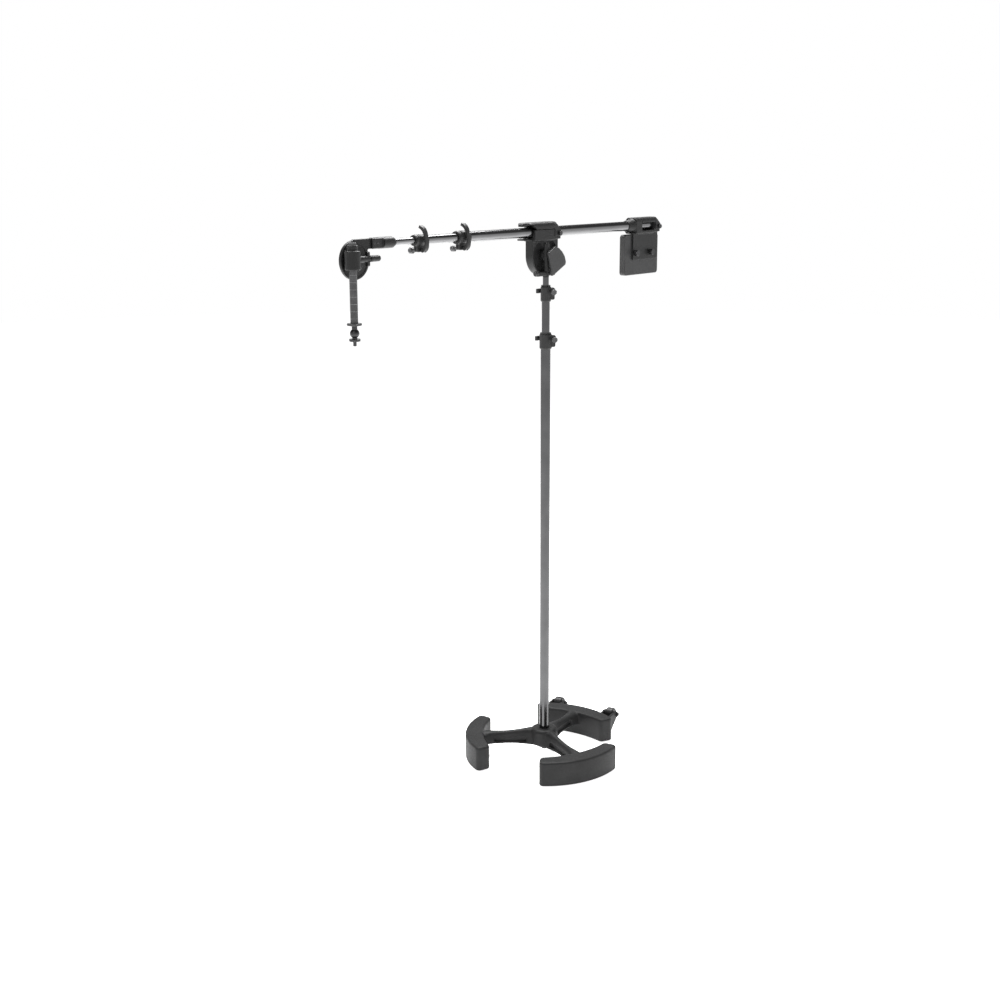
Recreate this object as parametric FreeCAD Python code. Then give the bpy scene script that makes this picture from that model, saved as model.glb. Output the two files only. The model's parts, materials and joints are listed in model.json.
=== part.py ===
import FreeCAD, Part
import math
import os

V = FreeCAD.Vector
ORIGIN = V(0, 0, 0)
X = V(1, 0, 0)
Y = V(0, 1, 0)
Z = V(0, 0, 1)

# ---- driving dimensions, millimetres -------------------------------------------------------
# The column stands on the Z axis, and the floor is at z = 0. The boom runs along X.

# Tubes, shared by the column and the boom
R_LARGE = 31.75 / 2
R_MEDIUM = 25.4 / 2
R_SMALL = 19.05 / 2
WALL = 1.5
RUNNING = 0.05            # radial clearance of a shaft in its hole
GAP = 0.3                 # gap between pieces that move past each other

# Base casting
LEG_ANGLES = (129.5, 249.5, 9.5)
WHEEL_LEG = 9.5
FOOT_OUTER = 265.0
FOOT_INNER_MIDDLE = 204.0
FOOT_INNER_END = 217.0
FOOT_HALF_ANGLE = 34.5
FOOT_TOP = 84.0
CASTING_BOTTOM = 3.0
HUB_RADIUS = 45.0
HUB_TOP = 100.0
HUB_BOTTOM = 46.0
BOSS_RADIUS = 33.0
BOSS_BOTTOM = 36.0
SOCKET_FLOOR = 44.0
PAD_RADIUS = 15.0
PAD_CIRCLE = 236.0
PAD_ANGLE = 22.0

# Transport wheels on the rear foot
WHEEL_RADIUS = 20.0
WHEEL_HALF_WIDTH = 14.5
WHEEL_OUT = 295.0
WHEEL_ASIDE = 102.0
WHEEL_HEIGHT = 66.0
LUG_THICKNESS = 8.0
AXLE_RADIUS = 4.0

# Column
LOWER_CLAMP_MIDDLE = 1399.5
UPPER_CLAMP_MIDDLE = 1548.0
MID_TUBE_BOTTOM = 330.0
INNER_TUBE_BOTTOM = 500.0
INNER_TUBE_TOP = 1600.0
GLIDE_LENGTH = 38.0

# Tube clamps
CLAMP_HALF = 24.5
CLAMP_WALL = 3.7
COLUMN_LUG_ANGLE = -50.5
EAR_MARGIN = 5.0           # ears beyond the bolt
EAR_HALF = 7.5
LEVER_PIVOT = 14.5
COLUMN_EAR_REACH = 6.5
COLUMN_BOLT_UP = 8.0
BOOM_EAR_REACH = 11.5
BOOM_BOLT_UP = 0.0
BOOM_LEVER_TIP = 42.0

# Head
PIVOT_Z = 1668.0
HEAD_HALF = 63.0
HEAD_FLAT_BOTTOM = 62.0    # below the pivot
PLATE_FRONT = 2.0
PLATE_BACK = 31.0
DISH_FLOOR = 14.0
POST_RADIUS = 10.0
POST_TOP = 1706.0
BRAKE_X = 30.0
BRAKE_Z = 1655.0
TILT_SCREW_Z = 1613.0
STOP_BAR_LEFT = -49.0

# Boom
BOOM_Y = 18.0
BOOM_Z = 1738.0
BOOM_END = 608.0
OUTER_CLAMP_MIDDLE = -371.0
INNER_CLAMP_MIDDLE = -548.0
BOOM_MID_INNER_END = 380.0
BOOM_THIN_INNER_END = 150.0
ADAPTOR_RIGHT = -650.0
ADAPTOR_LEFT = -745.0
ADAPTOR_RADIUS = 16.0

# Saddle clamps that hold the boom (head and counterweight)
SADDLE_FRONT = -6.0
SADDLE_BACK = 42.0
SADDLE_BOTTOM = 1711.0
SADDLE_SPLIT = 1746.0
LATCH_LOW = 1747.2
LATCH_TOP = 1769.0
LATCH_PIVOT = 62.0
SADDLE_LEFT = -60.0
SADDLE_NARROW = 36.0
SADDLE_RIGHT = 72.0

# Microphone end
DISC_X = -806.5
DISC_Z = 1696.5
DISC_RADIUS = 53.5
DISC_FRONT = 13.0
DROP_X = -837.0
DROP_Y = -8.3
DROP_RADIUS = 10.5
DROP_TOP = 1745.0
DROP_BOTTOM = 1531.0
GROOVE_STEP = 19.4
SCREW_Z = 1699.5
SCREW_BOSS_END = -786.0

# Counterweight
WEIGHT_LEFT = 431.0
WEIGHT_RIGHT = 625.0
WEIGHT_BOTTOM = 1575.0
WEIGHT_TOP = 1710.0
WEIGHT_FRONT = 7.3
WEIGHT_BACK = 29.3
CW_LEFT = 446.0
CW_CONE_END = 482.0
CW_NOSE_END = 510.0
CW_NARROW = 584.0
CW_PIVOT = 612.0
CW_TOP = 1765.0
BRACKET_LEFT = 470.0
BRACKET_RIGHT = 612.0
KNOB_XS = (481.0, 569.0)
KNOB_Z = 1649.0


# ---- small helpers -------------------------------------------------------------------------
def cylinder(radius, start, axis, length):
    return Part.makeCylinder(radius, length, V(*start), axis)


def ring(outer, inner, start, axis, length):
    hole = Part.makeCylinder(inner, length, V(*start), axis)
    return cylinder(outer, start, axis, length).cut(hole)


def block(x0, x1, y0, y1, z0, z1):
    return Part.makeBox(x1 - x0, y1 - y0, z1 - z0, V(x0, y0, z0))


def prism(points, along):
    """A closed polygon of 3-D points pushed along a vector."""
    corners = [V(*p) for p in points]
    face = Part.Face(Part.makePolygon(corners + corners[:1]))
    return face.extrude(along)


def hexagon(across, start, axis, length):
    """A hexagonal prism, as a bolt head or a nut."""
    corner = across / math.sqrt(3)
    points = [V(corner * math.cos(a), corner * math.sin(a), 0)
              for a in (math.radians(60 * i) for i in range(6))]
    shape = Part.Face(Part.makePolygon(points + points[:1])).extrude(V(0, 0, length))
    shape.Placement = FreeCAD.Placement(V(*start), FreeCAD.Rotation(Z, axis))
    return shape


def turned(profile, centre, axis):
    """A solid of revolution from (radius, height) points, height along axis from centre."""
    points = [V(r, 0, h) for r, h in profile]
    shape = Part.Face(Part.makePolygon(points + points[:1])).revolve(ORIGIN, Z, 360)
    shape.Placement = FreeCAD.Placement(V(*centre), FreeCAD.Rotation(Z, axis))
    return shape


def fuse(shapes):
    joined = shapes[0].fuse(shapes[1:])
    return joined.removeSplitter()


def cut(shape, tools):
    for tool in tools:
        shape = shape.cut(tool)
    return shape


def is_along(edge, axis):
    """Whether a straight edge runs along an axis."""
    if not isinstance(edge.Curve, Part.Line):
        return False
    return abs(abs(edge.Curve.Direction.dot(axis)) - 1) < 1e-6


def rounded_along(shape, axis, radius, keep=lambda point: True):
    """Rounds the straight edges that run along an axis and whose middle passes a test."""
    edges = [e for e in shape.Edges if is_along(e, axis) and keep(e.CenterOfMass)]
    return shape.makeFillet(radius, edges)


def rounded_at(shape, axis, height, radius):
    """Rounds every edge that lies in the plane at this height along an axis."""
    edges = [e for e in shape.Edges
             if abs(e.BoundBox.Center.dot(axis) - height) < 1e-4
             and all(abs(v.Point.dot(axis) - height) < 1e-4 for v in e.Vertexes)]
    return shape.makeFillet(radius, edges)


def about_z(shape, angle):
    turned_shape = shape.copy()
    turned_shape.rotate(ORIGIN, Z, angle)
    return turned_shape


def knob(radius, start, axis, length, flutes=8):
    """A round knob with flutes around its rim."""
    edge = 1.2
    body = turned([(0, 0), (radius - edge, 0), (radius, edge), (radius, length - edge),
                   (radius - edge, length), (0, length)], (0, 0, 0), Z)
    cutters = []
    for i in range(flutes):
        a = 2 * math.pi * i / flutes
        middle = radius + radius * 0.16
        cutters.append(cylinder(radius * 0.3, (middle * math.cos(a), middle * math.sin(a), -1),
                                Z, length + 2))
    body = cut(body, cutters)
    body.Placement = FreeCAD.Placement(V(*start), FreeCAD.Rotation(Z, axis))
    return body


# ---- base ----------------------------------------------------------------------------------
def foot():
    """One arc-shaped weight, in a frame whose +X points out along the leg."""
    a = math.radians(FOOT_HALF_ANGLE)
    def at(radius, angle):
        return V(radius * math.cos(angle), radius * math.sin(angle), CASTING_BOTTOM)
    outer = Part.Arc(at(FOOT_OUTER, -a), at(FOOT_OUTER, 0), at(FOOT_OUTER, a)).toShape()
    inner = Part.Arc(at(FOOT_INNER_END, a), at(FOOT_INNER_MIDDLE, 0),
                     at(FOOT_INNER_END, -a)).toShape()
    sides = [Part.makeLine(at(FOOT_OUTER, a), at(FOOT_INNER_END, a)),
             Part.makeLine(at(FOOT_INNER_END, -a), at(FOOT_OUTER, -a))]
    outline = Part.Face(Part.Wire([outer, sides[0], inner, sides[1]]))
    solid = outline.extrude(V(0, 0, FOOT_TOP - CASTING_BOTTOM))
    solid = rounded_along(solid, Z, 15.0)
    solid = rounded_at(solid, Z, FOOT_TOP, 7.0)
    return rounded_at(solid, Z, CASTING_BOTTOM, 3.0)


def arm_section(out, bottom_half, top_half, bottom, shoulder, crown):
    """One cross-section of an arm: a flat bottom, leaning sides and an arched top."""
    low = [V(out, -bottom_half, bottom), V(out, bottom_half, bottom)]
    high = [V(out, top_half, shoulder), V(out, -top_half, shoulder)]
    arch = Part.Arc(high[0], V(out, 0, crown), high[1]).toShape()
    return Part.Wire([Part.makeLine(low[0], low[1]), Part.makeLine(low[1], high[0]), arch,
                      Part.makeLine(high[1], low[0])])


def arm():
    """One arm, from the hub to its foot."""
    sections = [
        arm_section(18, 33, 30, 44, 88, 99),
        arm_section(48, 22, 17, 44, 85, 97.5),
        arm_section(85, 15.5, 11.5, 45, 80, 91.5),
        arm_section(135, 14, 11, 45, 75, 86),
        arm_section(178, 19, 16, 44, 74, 85.5),
        arm_section(214, 33, 31, 40, 66, 82),
    ]
    return cut(Part.makeLoft(sections, True, False), [web_recess(-40, -8), web_recess(8, 40)])


def web_recess(near, far):
    """The hollow in one side of an arm, between its bottom and its top flange."""
    return rounded_along(block(60, 168, near, far, 52, 68), Y, 6.0)


def wheel_lug(aside):
    """One gusset that rises from the rear foot's outer face to a wheel's axle."""
    y0 = aside - LUG_THICKNESS / 2
    side = [(232, 10), (246, 10), (304, 57), (306, 70), (296, 78), (232, 74)]
    plate = prism([(x, y0, z) for x, z in side], V(0, LUG_THICKNESS, 0))
    return rounded_along(plate, Y, 4.0, lambda point: point.x > 290)


def lug_places():
    half = WHEEL_HALF_WIDTH + 1.0 + LUG_THICKNESS / 2
    return [side * (WHEEL_ASIDE + step) for side in (-1, 1) for step in (-half, half)]


def pad_places():
    """Centres of the six rubber pads, two under each foot."""
    angles = [leg + side * PAD_ANGLE for leg in LEG_ANGLES for side in (-1, 1)]
    return [(PAD_CIRCLE * math.cos(math.radians(a)), PAD_CIRCLE * math.sin(math.radians(a)))
            for a in angles]


def base_casting():
    hub = turned([(0, HUB_BOTTOM), (HUB_RADIUS, HUB_BOTTOM), (HUB_RADIUS, HUB_TOP - 9),
                  (HUB_RADIUS - 4, HUB_TOP - 3), (HUB_RADIUS - 11, HUB_TOP), (0, HUB_TOP)],
                 (0, 0, 0), Z)
    boss = turned([(0, BOSS_BOTTOM), (BOSS_RADIUS - 5, BOSS_BOTTOM), (BOSS_RADIUS, BOSS_BOTTOM + 5),
                   (BOSS_RADIUS + 4, HUB_BOTTOM + 2), (0, HUB_BOTTOM + 2)], (0, 0, 0), Z)
    legs = []
    for angle in LEG_ANGLES:
        legs.append(about_z(arm(), angle))
        legs.append(about_z(foot(), angle))
    lugs = [about_z(wheel_lug(aside), WHEEL_LEG) for aside in lug_places()]
    body = fuse([hub, boss] + legs + lugs)
    axle_hole = cylinder(AXLE_RADIUS + RUNNING, (WHEEL_OUT, -140, WHEEL_HEIGHT), Y, 280)
    holes = [cylinder(R_LARGE + 0.02, (0, 0, SOCKET_FLOOR), Z, 80),
             cylinder(6.5, (0, 0, 0), Z, 80),
             about_z(axle_hole, WHEEL_LEG)]
    holes += [cylinder(PAD_RADIUS + 0.1, (x, y, -1), Z, 7) for x, y in pad_places()]
    return cut(body, holes)


def rubber_pads():
    pads = []
    for x, y in pad_places():
        pads.append(turned([(0, 0), (PAD_RADIUS - 1, 0), (PAD_RADIUS, 1), (PAD_RADIUS, 6), (0, 6)],
                           (x, y, 0), Z))
    return Part.makeCompound(pads)


def wheel(side):
    """One solid transport wheel with dished faces."""
    half = WHEEL_HALF_WIDTH
    profile = [(AXLE_RADIUS + RUNNING, -half), (8, -half), (9, -half + 3), (14, -half + 3),
               (15.5, -half + 1), (18, -half + 1), (WHEEL_RADIUS, -half + 4),
               (WHEEL_RADIUS, half - 4), (18, half - 1), (15.5, half - 1), (14, half - 3),
               (9, half - 3), (8, half), (AXLE_RADIUS + RUNNING, half)]
    solid = turned(profile, (WHEEL_OUT, side * WHEEL_ASIDE, WHEEL_HEIGHT), Y)
    return about_z(solid, WHEEL_LEG)


def axle(side):
    """An axle bolt with its head outside and its nut inside."""
    reach = WHEEL_HALF_WIDTH + 1.0 + LUG_THICKNESS
    inner = side * WHEEL_ASIDE - reach
    outer = side * WHEEL_ASIDE + reach
    shank = cylinder(AXLE_RADIUS, (WHEEL_OUT, inner - 8, WHEEL_HEIGHT), Y, outer - inner + 16)
    heads = [hexagon(13, (WHEEL_OUT, inner - 6.5, WHEEL_HEIGHT), Y, 6.5),
             hexagon(13, (WHEEL_OUT, outer, WHEEL_HEIGHT), Y, 6.5)]
    return about_z(fuse([shank] + heads), WHEEL_LEG)


def column_bolt():
    """The bolt that pulls the column down into the hub, with its washer."""
    washer = cylinder(15, (0, 0, BOSS_BOTTOM - 2.5), Z, 2.5)
    head = hexagon(19, (0, 0, BOSS_BOTTOM - 11.5), Z, 9)
    shank = cylinder(5.9, (0, 0, BOSS_BOTTOM - 3), Z, 50)
    return fuse([washer, head, shank])


def column_plug():
    """The threaded plug fixed in the foot of the lower tube."""
    bore = 6.0
    profile = [(bore, SOCKET_FLOOR + 1), (R_LARGE - WALL, SOCKET_FLOOR + 1),
               (R_LARGE - WALL, 84), (bore, 84)]
    return turned(profile, (0, 0, 0), Z)


# ---- telescoping tubes ---------------------------------------------------------------------
def tube_along(radius, start, axis, length):
    return ring(radius, radius - WALL, start, axis, length)


def glide(outer_tube, inner_tube, start, axis):
    """The plastic ring on a tube's hidden end, which runs inside the next larger tube."""
    outer = outer_tube - WALL - RUNNING
    return ring(outer, inner_tube, start, axis, GLIDE_LENGTH)


# ---- tube clamps ---------------------------------------------------------------------------
# Drawn with the tube along +Z towards the thinner tube, the ears along +X and the lever
# on +Y, about the clamp's middle. A placement then puts each one on its tube.
def clamp_body(radius, bolt_out, bolt_up):
    outer = radius + CLAMP_WALL
    collar = turned([(0, -CLAMP_HALF), (outer - 2, -CLAMP_HALF), (outer, -CLAMP_HALF + 3),
                     (outer, CLAMP_HALF - 4), (outer - 2.4, CLAMP_HALF), (0, CLAMP_HALF)],
                    (0, 0, 0), Z)
    ear_end = bolt_out + EAR_MARGIN
    ears = block(0, ear_end, -EAR_HALF, EAR_HALF, -18, 19)
    ears = rounded_along(ears, Y, 5.0, lambda point: point.x > ear_end - 1)
    ears = ears.makeFillet(1.2, [e for e in ears.Edges if e.BoundBox.XMin > ear_end - 6])
    body = fuse([collar, ears])
    return cut(body, [cylinder(radius, (0, 0, -30), Z, 60),
                      block(0, 60, -1.2, 1.2, -30, 30),
                      cylinder(3.2, (bolt_out, -20, bolt_up), Y, 40)])


def clamp_bush(radius, inner):
    """The sleeve between the clamp and the thinner tube."""
    lip = radius + 1.6
    profile = [(inner + RUNNING, 0.5), (radius, 0.5), (radius, CLAMP_HALF), (lip, CLAMP_HALF),
               (lip + 0.8, CLAMP_HALF + 2.4), (inner + RUNNING, CLAMP_HALF + 2.4)]
    return turned(profile, (0, 0, 0), Z)


def clamp_bolt(bolt_out, bolt_up):
    """The eye bolt across the ears, its adjusting knob and the lever's pivot pin."""
    eye = cylinder(5.5, (bolt_out, LEVER_PIVOT, bolt_up - 2.6), Z, 5.2)
    shank = cylinder(3.1, (bolt_out, -40, bolt_up), Y, 40 + LEVER_PIVOT - 3)
    spacer = cylinder(5.0, (bolt_out, -27, bolt_up), Y, 27 - EAR_HALF)
    grip = knob(9.0, (bolt_out + 2.5, -40, bolt_up), Y, 13)
    pin = cylinder(2.4, (bolt_out, LEVER_PIVOT, bolt_up - 7.5), Z, 15)
    return fuse([eye, shank, spacer, grip, pin])


def curve_through(points):
    curve = Part.BSplineCurve()
    curve.interpolate(points)
    return curve.toShape()


def clamp_lever(bolt_out, bolt_up, tip):
    """The cam lever: two cheeks on the pin and one arm that curves round the collar."""
    depth = 14.0
    low = bolt_up - depth / 2
    outer_line = [V(bolt_out + 6.5, LEVER_PIVOT, low), V(bolt_out - 3, 26.5, low), V(-4, 28.5, low),
                  V(9 - tip, 18.5, low), V(-tip, 4.5, low)]
    inner_line = [V(8 - tip, 0.5, low), V(17 - tip, 14.5, low), V(-3, 22.8, low),
                  V(bolt_out - 13, 22.2, low), V(bolt_out - 6.5, LEVER_PIVOT, low)]
    edges = [curve_through(outer_line), Part.makeLine(outer_line[-1], inner_line[0]),
             curve_through(inner_line), Part.makeLine(inner_line[-1], outer_line[0])]
    arm_solid = Part.Face(Part.Wire(edges)).extrude(V(0, 0, depth))
    cam = cylinder(6.5, (bolt_out, LEVER_PIVOT, low), Z, depth)
    slot = 3.6
    return cut(fuse([arm_solid, cam]), [
        cylinder(2.4 + RUNNING, (bolt_out, LEVER_PIVOT, low - 1), Z, depth + 2),
        block(bolt_out - 8, bolt_out + 8, 0, LEVER_PIVOT + 7, bolt_up - slot, bolt_up + slot)])


def on_column(shape, height):
    placed = about_z(shape, COLUMN_LUG_ANGLE)
    placed.translate(V(0, 0, height))
    return placed


def on_boom(shape, along):
    """Local +Z to -X, local +X to -Z and local +Y to -Y."""
    placed = shape.copy()
    matrix = FreeCAD.Matrix(0, 0, -1, along, 0, -1, 0, BOOM_Y, -1, 0, 0, BOOM_Z, 0, 0, 0, 1)
    placed.Placement = FreeCAD.Placement(matrix)
    return placed


def clamp_nodes(prefix, place, where, radius, inner, ear_reach, bolt_up, tip):
    bolt_out = radius + CLAMP_WALL + ear_reach
    return {prefix + "_clamp": place(clamp_body(radius, bolt_out, bolt_up), where),
            prefix + "_bush": place(clamp_bush(radius, inner), where),
            prefix + "_clamp_bolt": place(clamp_bolt(bolt_out, bolt_up), where),
            prefix + "_lever": place(clamp_lever(bolt_out, bolt_up, tip), where)}


# ---- head ----------------------------------------------------------------------------------
def head_post():
    """The fixed half of the head: spigot, half-round post, clutch face and brake arm."""
    spigot = cylinder(R_SMALL - WALL - RUNNING, (0, 0, INNER_TUBE_TOP - 45), Z, 46)
    foot_ring = cylinder(POST_RADIUS, (0, 0, INNER_TUBE_TOP + GAP), Z, 3.4)
    post = cylinder(POST_RADIUS, (0, 0, INNER_TUBE_TOP + GAP), Z, POST_TOP - INNER_TUBE_TOP)
    post = rounded_at(post, Z, POST_TOP + GAP, 5.0)
    back_cut = block(-20, 20, PLATE_FRONT - 0.4, 20, INNER_TUBE_TOP + 3.7, POST_TOP + 10)
    clutch_face = cylinder(18, (0, 0, PIVOT_Z), Y, DISH_FLOOR - 2.0)
    arm_side = [(-4, 1650), (-4, 1676), (18, 1672), (38, 1660), (38, 1648), (24, 1643)]
    brake_arm = prism([(x, -9.0, z) for x, z in arm_side], V(0, 9.0 + PLATE_FRONT - 0.4, 0))
    brake_arm = rounded_along(brake_arm, Y, 4.0, lambda point: point.x > 10)
    foot_bar = block(STOP_BAR_LEFT, 36, -9.0, PLATE_FRONT - 0.4, 1604, 1618)
    foot_bar = rounded_along(foot_bar, X, 3.5)
    body = fuse([spigot, foot_ring, post.cut(back_cut), clutch_face, brake_arm, foot_bar])
    bolt_hole = cylinder(6.0, (0, -5, PIVOT_Z), Y, 30)
    return cut(body, [bolt_hole, cylinder(4.0, (BRAKE_X, -12, BRAKE_Z), Y, 20),
                      cylinder(3.0, (STOP_BAR_LEFT - 1, -4, TILT_SCREW_Z), X, 54)])


def pivot_bolt():
    """The bolt the boom carrier turns on, with a washer under its head."""
    shank = cylinder(5.95, (0, -4.5, PIVOT_Z), Y, PLATE_BACK + 6)
    washer = cylinder(14, (0, PLATE_BACK + GAP, PIVOT_Z), Y, 2.2)
    head = hexagon(19, (0, PLATE_BACK + GAP + 2.2, PIVOT_Z), Y, 8)
    return fuse([shank, washer, head])


def friction_disc():
    return ring(17.5, 6.0, (0, DISH_FLOOR - 2.0 + GAP, PIVOT_Z), Y, 2.0 - GAP)


def brake_screw():
    """The clutch screw, from the lever to the brake pad."""
    return cylinder(3.95, (BRAKE_X, -20, BRAKE_Z), Y, 26)


def tilt_stop_screw():
    """The round-headed screw through the post's foot that limits the tilt."""
    shank = cylinder(3.0, (STOP_BAR_LEFT - 1, -4, TILT_SCREW_Z), X, 54)
    head = turned([(0, 0), (6.5, 0), (8.5, 2.5), (8.5, 10), (0, 10)], (STOP_BAR_LEFT - 10.3, -4, TILT_SCREW_Z), X)
    return fuse([shank, head])


def brake_pad():
    return cylinder(6.5, (BRAKE_X, 6.0, BRAKE_Z), Y, DISH_FLOOR - 6.0 - GAP)


def clutch_lever():
    """The paddle that tightens the clutch screw."""
    front = -22.5
    thickness = 9.0
    outline = [(-13.3, 1676), (21.6, 1693.5), (40.2, 1688.5), (56, 1677), (68.9, 1662), (75.3, 1644),
               (72.8, 1635), (26.8, 1612), (6.5, 1602), (1.5, 1628)]
    paddle = prism([(x, front, z) for x, z in outline], V(0, thickness, 0))
    paddle = rounded_along(paddle, Y, 3.5)
    front_edges = [e for e in paddle.Edges
                   if all(abs(v.Point.y - front) < 1e-4 for v in e.Vertexes)]
    paddle = paddle.makeChamfer(2.2, front_edges)
    hub = cylinder(10, (BRAKE_X, front + thickness, BRAKE_Z), Y, 3.6)
    return fuse([paddle, hub]).cut(cylinder(3.95, (BRAKE_X, -20, BRAKE_Z), Y, 60))


def carrier_outline():
    """The head's outline in the XZ plane: straight flanks, a round bottom, a small flat."""
    half_flat = math.sqrt(HEAD_HALF ** 2 - HEAD_FLAT_BOTTOM ** 2)
    diagonal = HEAD_HALF * math.sqrt(0.5)
    top = SADDLE_BOTTOM + 6
    low = PIVOT_Z - HEAD_FLAT_BOTTOM
    def at(x, z):
        return V(x, PLATE_FRONT, z)
    left = Part.Arc(at(-HEAD_HALF, PIVOT_Z), at(-diagonal, PIVOT_Z - diagonal),
                    at(-half_flat, low)).toShape()
    right = Part.Arc(at(half_flat, low), at(diagonal, PIVOT_Z - diagonal),
                     at(HEAD_HALF, PIVOT_Z)).toShape()
    return Part.Wire([Part.makeLine(at(-HEAD_HALF, top), at(-HEAD_HALF, PIVOT_Z)), left,
                      Part.makeLine(at(-half_flat, low), at(half_flat, low)), right,
                      Part.makeLine(at(HEAD_HALF, PIVOT_Z), at(HEAD_HALF, top)),
                      Part.makeLine(at(HEAD_HALF, top), at(-HEAD_HALF, top))])


def dish():
    """The round hollow in the carrier's front, with a flat floor for the clutch."""
    floor_radius = 41.0
    rim_radius = 58.0
    depth = DISH_FLOOR - PLATE_FRONT
    start = V(0, 0, -1)
    edges = [Part.makeLine(start, V(rim_radius, 0, -1)),
             Part.makeLine(V(rim_radius, 0, -1), V(rim_radius, 0, 0)),
             Part.Arc(V(rim_radius, 0, 0), V(52, 0, depth * 0.62),
                      V(floor_radius, 0, depth)).toShape(),
             Part.makeLine(V(floor_radius, 0, depth), V(0, 0, depth)),
             Part.makeLine(V(0, 0, depth), start)]
    shape = Part.Face(Part.Wire(edges)).revolve(ORIGIN, Z, 360)
    shape.Placement = FreeCAD.Placement(V(0, PLATE_FRONT, PIVOT_Z), FreeCAD.Rotation(Z, Y))
    return shape


def saddle(left, right, narrow_from):
    """A channel block under the boom: full width first, then narrow towards the latch pivot."""
    wide = block(left, narrow_from, SADDLE_FRONT, SADDLE_BACK, SADDLE_BOTTOM, SADDLE_SPLIT)
    wide = rounded_along(wide, X, 5.0, lambda point: point.z < SADDLE_BOTTOM + 1)
    narrow = block(narrow_from - 2, right, SADDLE_FRONT + 4.5, SADDLE_BACK - 4.5,
                   SADDLE_BOTTOM + 4, SADDLE_SPLIT - 4)
    return fuse([wide, narrow])


def saddle_channel(left, right):
    """The space the boom takes in a saddle."""
    room = R_LARGE + RUNNING
    channel = cylinder(room, (left - 5, BOOM_Y, BOOM_Z), X, right - left + 10)
    return channel.fuse(block(left - 5, right + 5, BOOM_Y - room, BOOM_Y + room, BOOM_Z,
                              SADDLE_SPLIT + 5))


def latch_pins(pivot_x):
    """Two stub pins, one each side of the boom, with knurled heads."""
    pivot_z = BOOM_Z - 5
    near = fuse([cylinder(4.0, (pivot_x, SADDLE_FRONT - 1, pivot_z), Y, 8.0),
                 knob(7.5, (pivot_x, SADDLE_FRONT - 6.7, pivot_z), Y, 6.5)])
    far = fuse([cylinder(4.0, (pivot_x, SADDLE_BACK - 7.0, pivot_z), Y, 8.0),
                knob(7.5, (pivot_x, SADDLE_BACK + 0.2, pivot_z), Y, 6.5)])
    return Part.makeCompound([near, far])


def latch_shell(left, right, pivot_x, top):
    """The arched shell of a latch and its two cheeks that reach down to the pivot."""
    shell = block(left, right, SADDLE_FRONT, SADDLE_BACK, LATCH_LOW, top)
    shell = rounded_along(shell, X, 14.0, lambda point: point.z > top - 1)
    cheek_side = [(right - 11, LATCH_LOW), (right - 11, BOOM_Z - 13), (pivot_x + 7, BOOM_Z - 14),
                  (pivot_x + 11, BOOM_Z - 9), (pivot_x + 11, BOOM_Z + 1), (right, top - 8),
                  (right - 11, top - 8)]
    width = 4.2
    cheeks = [prism([(x, y, z) for x, z in cheek_side], V(0, width, 0))
              for y in (SADDLE_FRONT, SADDLE_BACK - width)]
    room = cylinder(R_LARGE + 4.3, (left - 5, BOOM_Y, BOOM_Z), X, pivot_x - left + 30)
    pin_hole = cylinder(4.0 + RUNNING, (pivot_x, SADDLE_FRONT - 5, BOOM_Z - 5), Y, 60)
    return cut(fuse([shell] + cheeks), [room, pin_hole])


def latch_lip(left, root):
    """The finger lip: narrow at its rounded tip, arched underneath."""
    top = LATCH_TOP
    side = [(root + 2, LATCH_LOW + 4), (root + 2, top), (left + 13, top + 0.5), (left + 4, top - 2),
            (left, top - 6.5), (left + 1, top - 12), (left + 9, top - 11.5), (left + 22, top - 7),
            (root + 2, top - 6)]
    solid = prism([(x, SADDLE_FRONT, z) for x, z in side[1:]],
                  V(0, SADDLE_BACK - SADDLE_FRONT, 0))
    plan = [(left, BOOM_Y - 8), (left + 6, BOOM_Y - 12), (left + 22, BOOM_Y - 14),
            (root, BOOM_Y - 22), (root + 2, BOOM_Y - 22), (root + 2, BOOM_Y + 22),
            (root, BOOM_Y + 22), (left + 22, BOOM_Y + 14), (left + 6, BOOM_Y + 12),
            (left, BOOM_Y + 8)]
    return solid.common(prism([(x, y, top - 20) for x, y in plan], V(0, 0, 30))).common(
        cylinder(31.0, (left - 5, BOOM_Y, top + 0.5 - 31), X, 100))


def boom_latch():
    slant = prism([(-70, SADDLE_FRONT - 1, 1763), (-70, SADDLE_FRONT - 1, 1745),
                   (-46, SADDLE_FRONT - 1, 1745)], V(0, 60, 0))
    return fuse([latch_shell(-66, 50, LATCH_PIVOT, LATCH_TOP).cut(slant), latch_lip(-104, -66)])


def counterweight_latch():
    return latch_shell(CW_NOSE_END + 1.0, CW_PIVOT - 10, CW_PIVOT, CW_TOP)


def clamp_shoe(left, right):
    """The curved pad that a latch presses on the boom."""
    sleeve = ring(R_LARGE + 3.8, R_LARGE + RUNNING, (left, BOOM_Y, BOOM_Z), X, right - left)
    return sleeve.common(block(left, right, BOOM_Y - 12.5, BOOM_Y + 12.5, BOOM_Z, LATCH_TOP))


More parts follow.
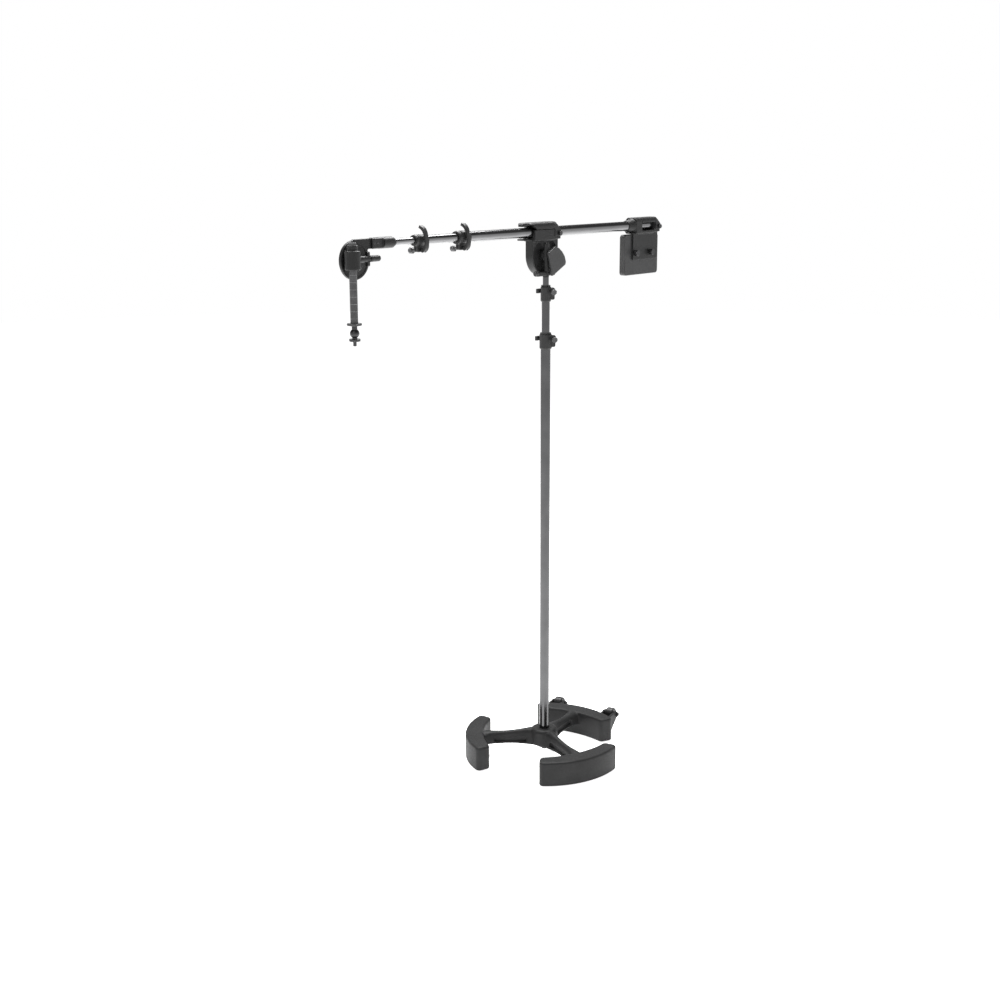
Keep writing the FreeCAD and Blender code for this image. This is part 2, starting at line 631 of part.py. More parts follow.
def boom_carrier():
    """The turning half of the head: dished plate, hollow back and the saddle for the boom."""
    plate = Part.Face(carrier_outline()).extrude(V(0, PLATE_BACK - PLATE_FRONT, 0))
    pocket = ring(50, 21, (0, PLATE_BACK - 9, PIVOT_Z), Y, 10)
    ribs = [block(-52, 52, PLATE_BACK - 12, PLATE_BACK - 1, PIVOT_Z - 3, PIVOT_Z + 3),
            block(-3, 3, PLATE_BACK - 12, PLATE_BACK - 1, PIVOT_Z - 52, PIVOT_Z + 52)]
    pocket = cut(pocket, ribs)
    plate = cut(plate, [dish(), pocket])
    seat = saddle(SADDLE_LEFT, SADDLE_RIGHT, SADDLE_NARROW)
    tab = block(-104, SADDLE_LEFT + 2, BOOM_Y - 10, BOOM_Y + 12, SADDLE_BOTTOM + 4.2,
                SADDLE_BOTTOM + 9)
    front_line = block(-14, 32, SADDLE_FRONT - 1, SADDLE_FRONT + 1.4, BOOM_Z - 10.5, BOOM_Z - 8.5)
    body = fuse([plate, seat, tab])
    pins = cylinder(4.0, (LATCH_PIVOT, -20, BOOM_Z - 5), Y, 80)
    return cut(body, [saddle_channel(SADDLE_LEFT - 50, SADDLE_RIGHT), front_line, pins,
                      cylinder(5.95 + RUNNING, (0, 0, PIVOT_Z), Y, 60)])


# ---- boom ----------------------------------------------------------------------------------
def end_plug():
    return turned([(0, -14), (R_LARGE - WALL, -14), (R_LARGE - WALL, 0), (R_LARGE, 0),
                   (R_LARGE, 2), (R_LARGE - 2, 4), (0, 4)], (BOOM_END, BOOM_Y, BOOM_Z), X)


def end_adaptor():
    """The socket on the thin tube, with two milled flats where the elbow is held."""
    body = turned([(0, 0), (ADAPTOR_RADIUS - 2, 0), (ADAPTOR_RADIUS, 2), (ADAPTOR_RADIUS, 82),
                   (ADAPTOR_RADIUS - 5.5, 93), (0, 93)], (ADAPTOR_LEFT, BOOM_Y, BOOM_Z), X)
    flat = 10.0
    length = 42.0
    waste = [block(ADAPTOR_LEFT - 1, ADAPTOR_LEFT + length, BOOM_Y + flat, BOOM_Y + 20,
                   BOOM_Z - 20, BOOM_Z + 20),
             block(ADAPTOR_LEFT - 1, ADAPTOR_LEFT + length, BOOM_Y - 20, BOOM_Y - flat,
                   BOOM_Z - 20, BOOM_Z + 20),
             cylinder(R_SMALL, (ADAPTOR_RIGHT - 50, BOOM_Y, BOOM_Z), X, 60),
             block(ADAPTOR_LEFT - 1, ADAPTOR_LEFT + 30, BOOM_Y - 5, BOOM_Y + 5,
                   BOOM_Z - 20, BOOM_Z + 20)]
    screws = [cylinder(3.0, (ADAPTOR_LEFT + x, 0, BOOM_Z), Y, 40) for x in (9, 22)]
    return cut(body, waste + screws)


# ---- microphone end ------------------------------------------------------------------------
def elbow_disc():
    """The tongue held in the adaptor and the round friction disc, one casting."""
    thick = 10.0
    disc = turned([(0, 0), (DISC_RADIUS - 1, 0), (DISC_RADIUS, 1), (DISC_RADIUS, thick - 1.5),
                   (DISC_RADIUS - 1.5, thick), (0, thick)], (DISC_X, DISC_FRONT, DISC_Z), Y)
    hollow = ring(47, 32, (DISC_X, DISC_FRONT - 1, DISC_Z), Y, 2.6)
    side = [(ADAPTOR_LEFT + 29, BOOM_Z - 13), (ADAPTOR_LEFT + 29, BOOM_Z + 13),
            (ADAPTOR_LEFT, BOOM_Z + 14), (DISC_X - 4, BOOM_Z + 13.5), (DISC_X + 24, BOOM_Z - 34),
            (ADAPTOR_LEFT - 26, BOOM_Z - 22), (ADAPTOR_LEFT - 10, BOOM_Z - 14)]
    tongue = prism([(x, DISC_FRONT, z) for x, z in side], V(0, thick, 0))
    body = fuse([disc.cut(hollow), tongue.cut(cylinder(45, (DISC_X, 0, DISC_Z), Y, 40))])
    screws = [cylinder(3.0, (ADAPTOR_LEFT + x, 0, BOOM_Z), Y, 40) for x in (9, 22)]
    return cut(body, screws + [cylinder(5.0, (DISC_X, 0, DISC_Z), Y, 40)])


def adaptor_screws():
    """Two cross screws that hold the tongue in the adaptor."""
    flat = 10.0
    screws = []
    for x in (9, 22):
        shank = cylinder(2.95, (ADAPTOR_LEFT + x, BOOM_Y - flat, BOOM_Z), Y, 2 * flat)
        head = cylinder(4.8, (ADAPTOR_LEFT + x, BOOM_Y + flat, BOOM_Z), Y, 3)
        screws.append(fuse([shank, head]))
    return Part.makeCompound(screws)


def mic_pivot_bolt():
    """The bolt the tube clamp turns on, with a round nut at the back."""
    shank = cylinder(4.95, (DISC_X, 5, DISC_Z), Y, 28)
    nut = knob(12, (DISC_X, DISC_FRONT + 10 + GAP, DISC_Z), Y, 9, 10)
    return fuse([shank, nut])


def mic_tube_clamp():
    """The round clamp on the drop tube, with the flange that turns on the disc."""
    body = turned([(0, 0), (20.5, 0), (22, 1.5), (22, 48.5), (20.5, 50), (16, 50), (15, 51.5),
                   (15, 64), (14, 65), (0, 65)], (DROP_X, DROP_Y, DISC_Z - 23), Z)
    flange = cylinder(20, (DISC_X, DISC_FRONT - GAP - 4, DISC_Z), Y, 4)
    web = block(DROP_X, DISC_X + 5, -9, DISC_FRONT - GAP, DISC_Z - 20, DISC_Z + 24)
    web = web.cut(cylinder(18, (DISC_X + 14, -16, DISC_Z - 60), Z, 120))
    screw_boss = cylinder(9, (DROP_X, DROP_Y, SCREW_Z), X, SCREW_BOSS_END - DROP_X)
    ribs = [block(DROP_X + 18, DROP_X + 26, DROP_Y - 3, DROP_Y + 3, DISC_Z - 22, DISC_Z + 26)]
    body = fuse([body, flange, web, screw_boss] + ribs)
    body = body.cut(block(-900, -700, DISC_FRONT - GAP, 60, 1600, 1800))
    grooves = [ring(18, 14, (DROP_X, DROP_Y, DISC_Z + 29.5 + 4 * i), Z, 1.4) for i in range(3)]
    return cut(body, grooves + [cylinder(DROP_RADIUS + RUNNING, (DROP_X, DROP_Y, 1600), Z, 200),
                                cylinder(4.0, (DROP_X, DROP_Y, SCREW_Z), X, 80),
                                cylinder(4.95 + RUNNING, (DISC_X, 4, DISC_Z), Y, 40)])


def mic_clamp_screw():
    """The screw that grips the drop tube, with its wing bar and cylindrical grip."""
    shank = cylinder(4.0 - RUNNING, (DROP_X + DROP_RADIUS + 1, DROP_Y, SCREW_Z), X, 60)
    wing = block(SCREW_BOSS_END + 0.5, SCREW_BOSS_END + 9, DROP_Y - 5, DROP_Y + 5,
                 SCREW_Z - 20, SCREW_Z + 20)
    wing = rounded_along(wing, X, 4.5)
    neck = cylinder(6.5, (SCREW_BOSS_END + 3, DROP_Y, SCREW_Z), X, 12)
    grip = turned([(0, 0), (8.4, 0), (9.0, 3), (8.4, 33), (7.4, 35), (0, 35)],
                  (SCREW_BOSS_END + 13, DROP_Y, SCREW_Z), X)
    return fuse([shank, wing, neck, grip])


def drop_tube():
    """The hanging tube, with evenly spaced index grooves and a closed top."""
    tube = ring(DROP_RADIUS, DROP_RADIUS - WALL, (DROP_X, DROP_Y, DROP_BOTTOM), Z,
                DROP_TOP - DROP_BOTTOM)
    cap = cylinder(DROP_RADIUS - 1, (DROP_X, DROP_Y, DROP_TOP - 4), Z, 4)
    heights = [DROP_BOTTOM + 12 + GROOVE_STEP * i for i in range(8)]
    grooves = [ring(DROP_RADIUS + 1, DROP_RADIUS - 0.45, (DROP_X, DROP_Y, height), Z, 1.2)
               for height in heights]
    return cut(fuse([tube, cap]), grooves)


def drop_flange():
    """The stop flange in the drop tube's lower end."""
    plug = DROP_RADIUS - WALL
    profile = [(5.0, 0), (19.5, 0), (20.5, 1.2), (20.5, 4.8), (19.5, 6), (plug, 6), (plug, 24),
               (5.0, 24)]
    return turned(profile, (DROP_X, DROP_Y, DROP_BOTTOM - 6), Z)


STUD_TOP = 1522.0
STUD_BOTTOM = 1469.0
STUD_RADIUS = 9.525 / 2
BALL_Z = 1503.5


def ball_stud():
    """The swivelling end: pin, ball, lower flange and the 3/8 inch stud."""
    pin = cylinder(5.0 - RUNNING, (DROP_X, DROP_Y, STUD_TOP - 8), Z, 32)
    collar = cylinder(7.5, (DROP_X, DROP_Y, BALL_Z + 8), Z, DROP_BOTTOM - 6 - GAP - BALL_Z - 8)
    ball = Part.makeSphere(13.0, V(DROP_X, DROP_Y, BALL_Z))
    neck = cylinder(7.0, (DROP_X, DROP_Y, 1486), Z, 10)
    flange = turned([(0, 0), (14.5, 0), (15.5, 1), (15.5, 6), (14.5, 7), (0, 7)],
                    (DROP_X, DROP_Y, 1482), Z)
    stud = turned([(0, 0), (STUD_RADIUS - 1, 0), (STUD_RADIUS, 1), (STUD_RADIUS, 14), (0, 14)],
                  (DROP_X, DROP_Y, STUD_BOTTOM), Z)
    return fuse([pin, collar, ball, neck, flange, stud])


# ---- counterweight -------------------------------------------------------------------------
def counterweight_clamp():
    """The saddle on the boom's tail, with its closed nose and the bracket for the weight."""
    seat = saddle(CW_CONE_END - 2, CW_PIVOT + 10, CW_NARROW)
    cone = turned([(0, 0), (17.6, 0), (24, CW_CONE_END - CW_LEFT), (0, CW_CONE_END - CW_LEFT)],
                  (CW_LEFT, BOOM_Y, BOOM_Z), X)
    nose = block(CW_CONE_END - 2, CW_NOSE_END, SADDLE_FRONT, SADDLE_BACK, SADDLE_BOTTOM, CW_TOP)
    nose = rounded_along(nose, X, 5.0, lambda point: point.z < SADDLE_BOTTOM + 1)
    nose = rounded_along(nose, X, 14.0, lambda point: point.z > CW_TOP - 1)
    bracket = block(BRACKET_LEFT, BRACKET_RIGHT, 1.0, WEIGHT_FRONT - GAP, 1625, SADDLE_BOTTOM + 6)
    bracket = rounded_along(bracket, Y, 8.0, lambda point: point.z < 1630)
    body = fuse([seat, cone, nose, bracket])
    bore = cylinder(R_LARGE + RUNNING, (CW_LEFT - 5, BOOM_Y, BOOM_Z), X, 230)
    open_top = block(CW_NOSE_END + 1, CW_PIVOT + 20, BOOM_Y - R_LARGE - RUNNING,
                     BOOM_Y + R_LARGE + RUNNING, BOOM_Z, LATCH_TOP + 5)
    front_window = block(CW_NOSE_END + 2, CW_NARROW - 2, SADDLE_FRONT - 1, BOOM_Y - 8, 1722,
                         SADDLE_SPLIT + 1)
    pins = cylinder(4.0, (CW_PIVOT, -20, BOOM_Z - 5), Y, 80)
    knobs = [cylinder(4.2, (x, -5, KNOB_Z), Y, 20) for x in KNOB_XS]
    return cut(body, [bore, open_top, front_window, pins] + knobs)


def weight_plate():
    plate = block(WEIGHT_LEFT, WEIGHT_RIGHT, WEIGHT_FRONT, WEIGHT_BACK, WEIGHT_BOTTOM, WEIGHT_TOP)
    plate = rounded_along(plate, Y, 11.0)
    plate = rounded_at(plate, Y, WEIGHT_FRONT, 2.5)
    plate = rounded_at(plate, Y, WEIGHT_BACK, 2.5)
    return cut(plate, [cylinder(4.0, (x, 0, KNOB_Z), Y, 20) for x in KNOB_XS])


def weight_knob(x):
    """A fluted hand knob on a stud that holds the weight to the bracket."""
    grip = knob(10.5, (x, -13.5, KNOB_Z), Y, 11.5, 5)
    collar = cylinder(6, (x, -3, KNOB_Z), Y, 4.0 - GAP)
    return fuse([grip, collar, cylinder(4.0 - RUNNING, (x, -4, KNOB_Z), Y, 21)])


# ---- assembly ------------------------------------------------------------------------------
def base_nodes():
    return {"base_casting": base_casting(),
            "rubber_pads": rubber_pads(),
            "column_bolt": column_bolt(),
            "column_plug": column_plug(),
            "wheel_left": wheel(1),
            "wheel_right": wheel(-1),
            "wheel_axles": Part.makeCompound([axle(1), axle(-1)])}


def column_nodes():
    mid_top = UPPER_CLAMP_MIDDLE
    nodes = {
        "lower_tube": tube_along(R_LARGE, (0, 0, SOCKET_FLOOR), Z, LOWER_CLAMP_MIDDLE - SOCKET_FLOOR),
        "mid_tube": tube_along(R_MEDIUM, (0, 0, MID_TUBE_BOTTOM), Z, mid_top - MID_TUBE_BOTTOM),
        "inner_tube": tube_along(R_SMALL, (0, 0, INNER_TUBE_BOTTOM), Z,
                                 INNER_TUBE_TOP - INNER_TUBE_BOTTOM),
        "mid_tube_glide": glide(R_LARGE, R_MEDIUM, (0, 0, MID_TUBE_BOTTOM), Z),
        "inner_tube_glide": glide(R_MEDIUM, R_SMALL, (0, 0, INNER_TUBE_BOTTOM), Z)}
    nodes.update(clamp_nodes("column_lower", on_column, LOWER_CLAMP_MIDDLE, R_LARGE, R_MEDIUM,
                             COLUMN_EAR_REACH, COLUMN_BOLT_UP, R_LARGE + 18))
    nodes.update(clamp_nodes("column_upper", on_column, UPPER_CLAMP_MIDDLE, R_MEDIUM, R_SMALL,
                             COLUMN_EAR_REACH, COLUMN_BOLT_UP, R_MEDIUM + 18))
    return nodes


def head_nodes():
    return {"head_post": head_post(),
            "pivot_bolt": pivot_bolt(),
            "friction_disc": friction_disc(),
            "brake_screw": brake_screw(),
            "brake_pad": brake_pad(),
            "tilt_stop_screw": tilt_stop_screw(),
            "clutch_lever": clutch_lever(),
            "boom_carrier": boom_carrier(),
            "boom_shoe": clamp_shoe(-44, 34),
            "boom_latch": boom_latch(),
            "boom_latch_pins": latch_pins(LATCH_PIVOT)}


def boom_nodes():
    def along(radius, left, right):
        return tube_along(radius, (left, BOOM_Y, BOOM_Z), X, right - left)
    nodes = {
        "boom_outer_tube": along(R_LARGE, OUTER_CLAMP_MIDDLE, BOOM_END),
        "boom_mid_tube": along(R_MEDIUM, INNER_CLAMP_MIDDLE, BOOM_MID_INNER_END),
        "boom_thin_tube": along(R_SMALL, ADAPTOR_RIGHT - 50, BOOM_THIN_INNER_END),
        "boom_mid_glide": glide(R_LARGE, R_MEDIUM,
                                (BOOM_MID_INNER_END - GLIDE_LENGTH, BOOM_Y, BOOM_Z), X),
        "boom_thin_glide": glide(R_MEDIUM, R_SMALL,
                                 (BOOM_THIN_INNER_END - GLIDE_LENGTH, BOOM_Y, BOOM_Z), X),
        "boom_end_plug": end_plug(),
        "end_adaptor": end_adaptor()}
    nodes.update(clamp_nodes("boom_outer", on_boom, OUTER_CLAMP_MIDDLE, R_LARGE, R_MEDIUM,
                             BOOM_EAR_REACH, BOOM_BOLT_UP, BOOM_LEVER_TIP))
    nodes.update(clamp_nodes("boom_inner", on_boom, INNER_CLAMP_MIDDLE, R_MEDIUM, R_SMALL,
                             BOOM_EAR_REACH, BOOM_BOLT_UP, BOOM_LEVER_TIP))
    return nodes


def microphone_nodes():
    return {"elbow_disc": elbow_disc(),
            "adaptor_screws": adaptor_screws(),
            "mic_pivot_bolt": mic_pivot_bolt(),
            "mic_tube_clamp": mic_tube_clamp(),
            "mic_clamp_screw": mic_clamp_screw(),
            "drop_tube": drop_tube(),
            "drop_flange": drop_flange(),
            "ball_stud": ball_stud()}


def counterweight_nodes():
    return {"counterweight_clamp": counterweight_clamp(),
            "counterweight_shoe": clamp_shoe(CW_NOSE_END + 4, CW_PIVOT - 40),
            "counterweight_latch": counterweight_latch(),
            "counterweight_pins": latch_pins(CW_PIVOT),
            "weight_plate": weight_plate(),
            "weight_knobs": Part.makeCompound([weight_knob(x) for x in KNOB_XS])}


def main():
    os.makedirs("parts", exist_ok=True)
    nodes = {}
    for group in (base_nodes, column_nodes, head_nodes, boom_nodes, microphone_nodes,
                  counterweight_nodes):
        nodes.update(group())
    for name, shape in nodes.items():
        shape.exportStep("parts/" + name + ".step")
        print(name, "solids", len(shape.Solids), "valid", shape.isValid(),
              "litres", round(shape.Volume / 1e6, 4))
    print(len(nodes), "nodes")


main()
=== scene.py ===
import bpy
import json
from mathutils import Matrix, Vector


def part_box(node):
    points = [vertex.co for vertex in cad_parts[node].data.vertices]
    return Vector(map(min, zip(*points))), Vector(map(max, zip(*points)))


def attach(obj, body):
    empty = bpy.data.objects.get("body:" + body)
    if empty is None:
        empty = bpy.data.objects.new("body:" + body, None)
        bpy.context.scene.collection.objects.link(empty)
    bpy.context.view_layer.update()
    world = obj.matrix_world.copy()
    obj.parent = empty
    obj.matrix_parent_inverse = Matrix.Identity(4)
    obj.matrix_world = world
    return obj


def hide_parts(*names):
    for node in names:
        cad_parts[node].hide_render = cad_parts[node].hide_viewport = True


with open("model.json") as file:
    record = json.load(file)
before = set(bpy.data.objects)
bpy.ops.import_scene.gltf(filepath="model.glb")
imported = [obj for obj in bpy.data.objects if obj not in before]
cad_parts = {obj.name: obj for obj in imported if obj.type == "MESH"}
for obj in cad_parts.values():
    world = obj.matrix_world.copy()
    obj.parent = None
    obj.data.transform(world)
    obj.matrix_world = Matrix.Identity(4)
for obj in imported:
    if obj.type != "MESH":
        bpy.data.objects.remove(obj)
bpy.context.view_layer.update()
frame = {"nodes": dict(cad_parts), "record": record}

import json
import math

import bpy
import bmesh
from mathutils import Matrix, Vector

MM = 0.001
BOOM_PREFIX = "boom_"
CLAMPS = ("column_lower", "column_upper", "boom_outer", "boom_inner")

# The index grooves of the drop tube
FIRST_BAND = 12.0 * MM
BAND_STEP = 19.4 * MM
BAND_WIDTH = 1.2 * MM
BAND_COUNT = 8
BAND_SUNK = 0.15 * MM
BAND_THICKNESS = 0.4 * MM

# The camera, which looks along HEADING (from +Y towards +X) and down by PITCH
CAMERA_PLACE = (-3.567, -2.848, 1.9846)
HEADING = math.radians(50.5)
PITCH = math.radians(13.56)
LENS = 52.2
SENSOR = 36.0
SHIFT = -0.023

# The studio, in metres
FLOOR_RADIUS = 14.0


# ---- materials -----------------------------------------------------------------------------
class Shader:
    """A small helper that adds nodes to one material and links them."""

    def __init__(self, name):
        self.material = bpy.data.materials.new(name)
        self.material.use_nodes = True
        self.tree = self.material.node_tree
        self.bsdf = self.tree.nodes["Principled BSDF"]
        self.place = self.add("ShaderNodeTexCoord").outputs["Object"]

    def add(self, kind, **values):
        node = self.tree.nodes.new(kind)
        for key, value in values.items():
            setattr(node, key, value)
        return node

    def link(self, output, socket):
        self.tree.links.new(output, socket)

    def stretched(self, scale):
        mapping = self.add("ShaderNodeMapping")
        mapping.inputs["Scale"].default_value = scale
        self.link(self.place, mapping.inputs["Vector"])
        return mapping.outputs["Vector"]

    def noise(self, scale, detail=4.0, vector=None):
        node = self.add("ShaderNodeTexNoise")
        node.inputs["Scale"].default_value = scale
        node.inputs["Detail"].default_value = detail
        self.link(vector or self.place, node.inputs["Vector"])
        return node.outputs["Fac"]

    def spread(self, value, low, high, start=0.3, end=0.7):
        """Maps a noise value onto a range."""
        node = self.add("ShaderNodeMapRange")
        self.link(value, node.inputs["Value"])
        for key, number in (("From Min", start), ("From Max", end), ("To Min", low), ("To Max", high)):
            node.inputs[key].default_value = number
        return node.outputs["Result"]

    def mix(self, factor, first, second):
        node = self.add("ShaderNodeMix", data_type="RGBA")
        self.link(factor, node.inputs["Factor"])
        for key, colour in (("A", first), ("B", second)):
            socket = [s for s in node.inputs if s.name == key and s.type == "RGBA"][0]
            if isinstance(colour, tuple):
                socket.default_value = (*colour, 1.0)
            else:
                self.link(colour, socket)
        return [s for s in node.outputs if s.type == "RGBA"][0]

    def math(self, operation, first, second):
        node = self.add("ShaderNodeMath", operation=operation)
        for socket, value in zip(node.inputs, (first, second)):
            if isinstance(value, (int, float)):
                socket.default_value = value
            else:
                self.link(value, socket)
        return node.outputs[0]

    def edge(self, radius):
        """The rounded normal, and a mask that is 1 on worn convex edges."""
        bevel = self.add("ShaderNodeBevel", samples=4)
        bevel.inputs["Radius"].default_value = radius
        flat = self.add("ShaderNodeNewGeometry").outputs["Normal"]
        dot = self.add("ShaderNodeVectorMath", operation="DOT_PRODUCT")
        self.link(bevel.outputs["Normal"], dot.inputs[0])
        self.link(flat, dot.inputs[1])
        turn = self.math("SUBTRACT", 1.0, dot.outputs["Value"])
        return bevel.outputs["Normal"], self.spread(turn, 0.0, 1.0, 0.02, 0.2)

    def bump(self, height, distance, strength, normal):
        node = self.add("ShaderNodeBump")
        node.inputs["Distance"].default_value = distance
        node.inputs["Strength"].default_value = strength
        self.link(height, node.inputs["Height"])
        self.link(normal, node.inputs["Normal"])
        return node.outputs["Normal"]


def finish(name, dark, light, rough, grain, grain_depth, wear, worn, metallic=0.0,
           stretch=(1.0, 1.0, 1.0), edge_radius=0.6 * MM, mottle=14.0, specular=0.5):
    """A surface with mottled colour, uneven gloss, a fine grain and rubbed edges.

    dark and light are the two colours of the mottle, rough is the range of roughness, grain is
    the scale of the bump, and worn is the colour that shows where an edge has been rubbed.
    """
    s = Shader(name)
    vector = s.stretched(stretch)
    normal, mask = s.edge(edge_radius)
    blotch = s.noise(mottle, 5.0)
    colour = s.mix(s.spread(blotch, 0.0, 1.0), dark, light)
    rub = s.math("MULTIPLY", mask, s.spread(s.noise(220.0, 3.0), 0.0, wear, 0.35, 0.6))
    s.link(s.mix(rub, colour, worn), s.bsdf.inputs["Base Color"])
    s.link(s.spread(s.noise(grain * 0.3, 3.0, vector), rough[0], rough[1]), s.bsdf.inputs["Roughness"])
    s.link(s.bump(s.noise(grain, 4.0, vector), grain_depth, 0.6, normal), s.bsdf.inputs["Normal"])
    s.bsdf.inputs["Metallic"].default_value = metallic
    s.bsdf.inputs["Specular IOR Level"].default_value = specular
    return s.material


def grey(value):
    return (value, value, value * 1.02)


def cast_iron():
    return finish("cast_iron_black", grey(0.009), grey(0.016), (0.5, 0.66), 900.0, 0.4 * MM, 0.5,
                  grey(0.07), edge_radius=1.2 * MM, specular=0.28)


def tube(name, dark, light, stretch):
    return finish(name, grey(dark), grey(light), (0.13, 0.2), 60.0, 0.01 * MM, 0.5, grey(0.3),
                  metallic=1.0, stretch=stretch, edge_radius=0.4 * MM)


def moulded(name, dark, light):
    return finish(name, grey(dark), grey(light), (0.36, 0.5), 1300.0, 0.06 * MM, 0.6, grey(0.09),
                  specular=0.4)


def powder_coat():
    return finish("head_paint", grey(0.010), grey(0.016), (0.34, 0.5), 1100.0, 0.1 * MM, 0.7,
                  grey(0.12), specular=0.3)


def steel(name, dark, light):
    return finish(name, grey(dark), grey(light), (0.25, 0.42), 500.0, 0.03 * MM, 0.6, grey(0.5),
                  metallic=0.9, edge_radius=0.4 * MM)


def rubber():
    return finish("rubber", grey(0.012), grey(0.02), (0.7, 0.85), 700.0, 0.12 * MM, 0.3, grey(0.05),
                  specular=0.3)


def slot_materials():
    """One material for each slot in the record, and a lighter copy of the tube finish for the boom's
    tubes, painted lighter than the column's copy as painted reflection.
    """
    weight = finish("weight_iron", grey(0.03), grey(0.042), (0.45, 0.6), 700.0, 0.12 * MM, 0.7,
                    grey(0.12), edge_radius=1.0 * MM, specular=0.4)
    drop = finish("drop_tube_finish", grey(0.06), grey(0.09), (0.34, 0.5), 300.0, 0.04 * MM, 0.7,
                  grey(0.3), metallic=0.6, edge_radius=0.4 * MM, mottle=40.0)
    return {"cast_iron_black": cast_iron(),
            "rubber": rubber(),
            "wheel_plastic": moulded("wheel_plastic", 0.010, 0.017),
            "zinc_steel": steel("zinc_steel", 0.045, 0.08),
            "clamp_plastic": moulded("clamp_plastic", 0.014, 0.021),
            "bush_plastic": moulded("bush_plastic", 0.012, 0.018),
            "clamp_bolt_steel": steel("clamp_bolt_steel", 0.07, 0.13),
            "lever_plastic": moulded("lever_plastic", 0.012, 0.019),
            # The column's and the boom's tubes share one anodised finish: the column's copy is painted
            # darker as painted shade, and the boom's copy is painted lighter as painted reflection,
            # for how the lights fall on each.
            "tube_anodised": tube("tube_anodised", 0.085, 0.11, (1.0, 1.0, 0.02)),
            "boom_tube_painted_lighter": tube("boom_tube_painted_lighter", 0.19, 0.23, (0.02, 1.0, 1.0)),
            "head_paint": powder_coat(),
            "paddle_plastic": moulded("paddle_plastic", 0.028, 0.040),
            "friction_pad": rubber(),
            "weight_iron": weight,
            "drop_tube_finish": drop}


def paint(obj, material):
    obj.data.materials.clear()
    obj.data.materials.append(material)


# ---- meshes --------------------------------------------------------------------------------
def body_of_node(node):
    bodies = frame["record"]["behaviour"]["bodies"]
    return [body for body, members in bodies.items() if node in members][0]


def slot_of_node(node):
    return [p["material_slot"] for p in frame["record"]["subparts"] if p["node"] == node][0]


def apply_modifiers(obj):
    graph = bpy.context.evaluated_depsgraph_get()
    mesh = bpy.data.meshes.new_from_object(obj.evaluated_get(graph))
    obj.modifiers.clear()
    obj.data = mesh
    for polygon in mesh.polygons:
        polygon.use_smooth = True


def softened(node, voxel, rounds):
    """A copy of a CAD node whose corners are rounded as a mould or a casting rounds them."""
    obj = bpy.data.objects.new(node + "_skin", frame["nodes"][node].data.copy())
    bpy.context.scene.collection.objects.link(obj)
    skin = obj.modifiers.new("skin", "REMESH")
    skin.mode = "VOXEL"
    skin.voxel_size = voxel * MM
    soften = obj.modifiers.new("soften", "SMOOTH")
    soften.factor = 0.5
    soften.iterations = rounds
    apply_modifiers(obj)
    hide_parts(node)
    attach(obj, body_of_node(node))
    return obj


SOFTENED = {
    "base_casting": (1.8, 5),
    "boom_carrier": (1.2, 3),
    "boom_latch": (1.0, 4),
    "counterweight_clamp": (1.2, 3),
    "counterweight_latch": (1.0, 4),
    "clutch_lever": (1.0, 4),
    "elbow_disc": (1.0, 2),
    "mic_tube_clamp": (0.9, 3),
    "end_adaptor": (1.0, 2),
    "head_post": (0.9, 2),
}


def softened_pieces():
    sizes = dict(SOFTENED)
    for clamp in CLAMPS:
        sizes[clamp + "_clamp"] = (0.8, 3)
        sizes[clamp + "_lever"] = (0.8, 4)
    return [(node, softened(node, *values)) for node, values in sizes.items()]


def lathe(name, profile, segments=72):
    """A closed ring turned about Z from (radius, height) points."""
    mesh = bpy.data.meshes.new(name)
    count = len(profile)
    points = []
    for i in range(segments):
        angle = 2 * math.pi * i / segments
        points += [(r * math.cos(angle), r * math.sin(angle), z) for r, z in profile]
    faces = []
    for i in range(segments):
        here, there = i * count, (i + 1) % segments * count
        for j in range(count):
            k = (j + 1) % count
            faces.append((here + j, there + j, there + k, here + k))
    mesh.from_pydata(points, [], faces)
    return mesh


def index_bands():
    """The light paint in the grooves of the drop tube."""
    material = finish("index_bands", grey(0.16), grey(0.24), (0.4, 0.55), 900.0, 0.03 * MM, 0.5,
                      grey(0.4))
    low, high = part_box("drop_tube")
    radius = (high[0] - low[0]) / 2
    middle = ((low[0] + high[0]) / 2, (low[1] + high[1]) / 2)
    outer = radius - BAND_SUNK
    inner = outer - BAND_THICKNESS
    profile = [(inner, 0.0), (outer, 0.0), (outer, BAND_WIDTH), (inner, BAND_WIDTH)]
    for i in range(BAND_COUNT):
        name = "index_band_%d" % (i + 1)
        obj = bpy.data.objects.new(name, lathe(name, profile))
        bpy.context.scene.collection.objects.link(obj)
        obj.data.transform(Matrix.Translation((*middle, low[2] + FIRST_BAND + i * BAND_STEP)))
        paint(obj, material)
        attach(obj, "drop_tube")


# ---- studio --------------------------------------------------------------------------------
def area_light(name, place, aim, width, height, power):
    light = bpy.data.lights.new(name, "AREA")
    light.shape = "RECTANGLE"
    light.size = width
    light.size_y = height
    light.energy = power
    obj = bpy.data.objects.new(name, light)
    bpy.context.scene.collection.objects.link(obj)
    obj.location = place
    obj.rotation_euler = (Vector(aim) - Vector(place)).to_track_quat("-Z", "Y").to_euler()


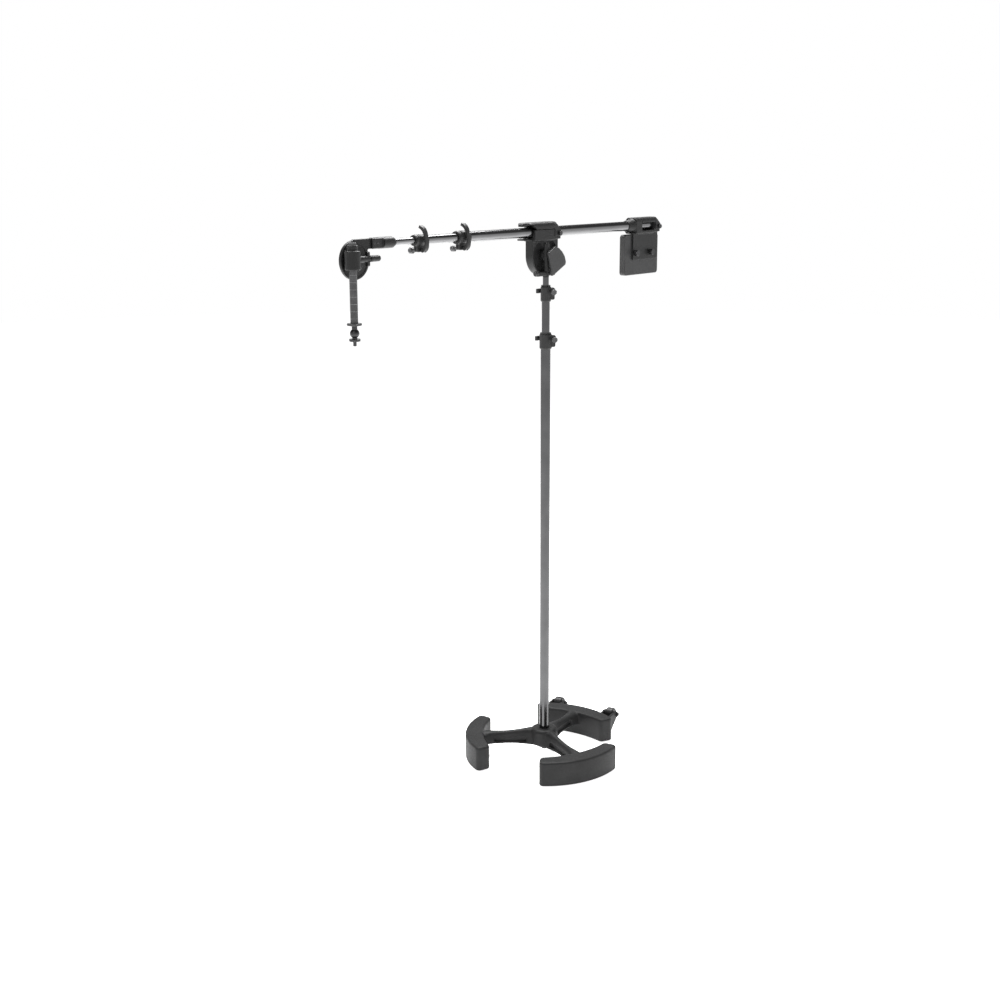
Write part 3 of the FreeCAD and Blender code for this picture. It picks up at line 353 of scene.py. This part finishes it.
def sky():
    """White around the horizon and dark grey overhead, so that dark metal keeps its shape."""
    world = bpy.data.worlds.new("studio")
    bpy.context.scene.world = world
    world.use_nodes = True
    nodes, links = world.node_tree.nodes, world.node_tree.links
    where = nodes.new("ShaderNodeTexCoord")
    split = nodes.new("ShaderNodeSeparateXYZ")
    ramp = nodes.new("ShaderNodeMapRange")
    links.new(where.outputs["Generated"], split.inputs["Vector"])
    links.new(split.outputs["Z"], ramp.inputs["Value"])
    for key, number in (("From Min", 0.13), ("From Max", 0.4), ("To Min", 1.0), ("To Max", 0.1)):
        ramp.inputs[key].default_value = number
    links.new(ramp.outputs["Result"], nodes["Background"].inputs["Strength"])
    nodes["Background"].inputs["Color"].default_value = (1.0, 1.0, 1.0, 1.0)


def floor():
    mesh = bpy.data.meshes.new("floor")
    bm = bmesh.new()
    bmesh.ops.create_circle(bm, cap_ends=True, segments=96, radius=FLOOR_RADIUS)
    bm.to_mesh(mesh)
    bm.free()
    obj = bpy.data.objects.new("floor", mesh)
    bpy.context.scene.collection.objects.link(obj)
    material = bpy.data.materials.new("floor")
    material.use_nodes = True
    bsdf = material.node_tree.nodes["Principled BSDF"]
    bsdf.inputs["Base Color"].default_value = (0.9, 0.9, 0.9, 1.0)
    bsdf.inputs["Roughness"].default_value = 0.9
    bsdf.inputs["Emission Color"].default_value = (1.0, 1.0, 1.0, 1.0)
    bsdf.inputs["Emission Strength"].default_value = 0.95
    paint(obj, material)


def camera():
    data = bpy.data.cameras.new("camera")
    data.lens = LENS
    data.sensor_width = SENSOR
    data.shift_x = SHIFT
    obj = bpy.data.objects.new("camera", data)
    bpy.context.scene.collection.objects.link(obj)
    obj.location = CAMERA_PLACE
    look = Vector((math.cos(PITCH) * math.sin(HEADING), math.cos(PITCH) * math.cos(HEADING),
                   -math.sin(PITCH)))
    obj.rotation_euler = look.to_track_quat("-Z", "Y").to_euler()
    bpy.context.scene.camera = obj


def lights():
    area_light("key", (-4.6, -1.4, 4.6), (0.0, 0.0, 1.0), 2.0, 2.0, 45.0)
    area_light("top", (0.6, 0.8, 4.4), (0.0, 0.0, 0.0), 3.0, 3.0, 420.0)


def main():
    bpy.context.scene.view_settings.view_transform = "Standard"
    materials = slot_materials()
    skins = dict(softened_pieces())
    for node, obj in frame["nodes"].items():
        slot = slot_of_node(node)
        # The boom's tubes take the lighter copy of the tube finish, a painted reflection.
        if slot == "tube_anodised" and node.startswith(BOOM_PREFIX):
            slot = "boom_tube_painted_lighter"
        paint(obj, materials[slot])
        if node in skins:
            paint(skins[node], materials[slot])
    index_bands()
    sky()
    floor()
    lights()
    camera()


main()
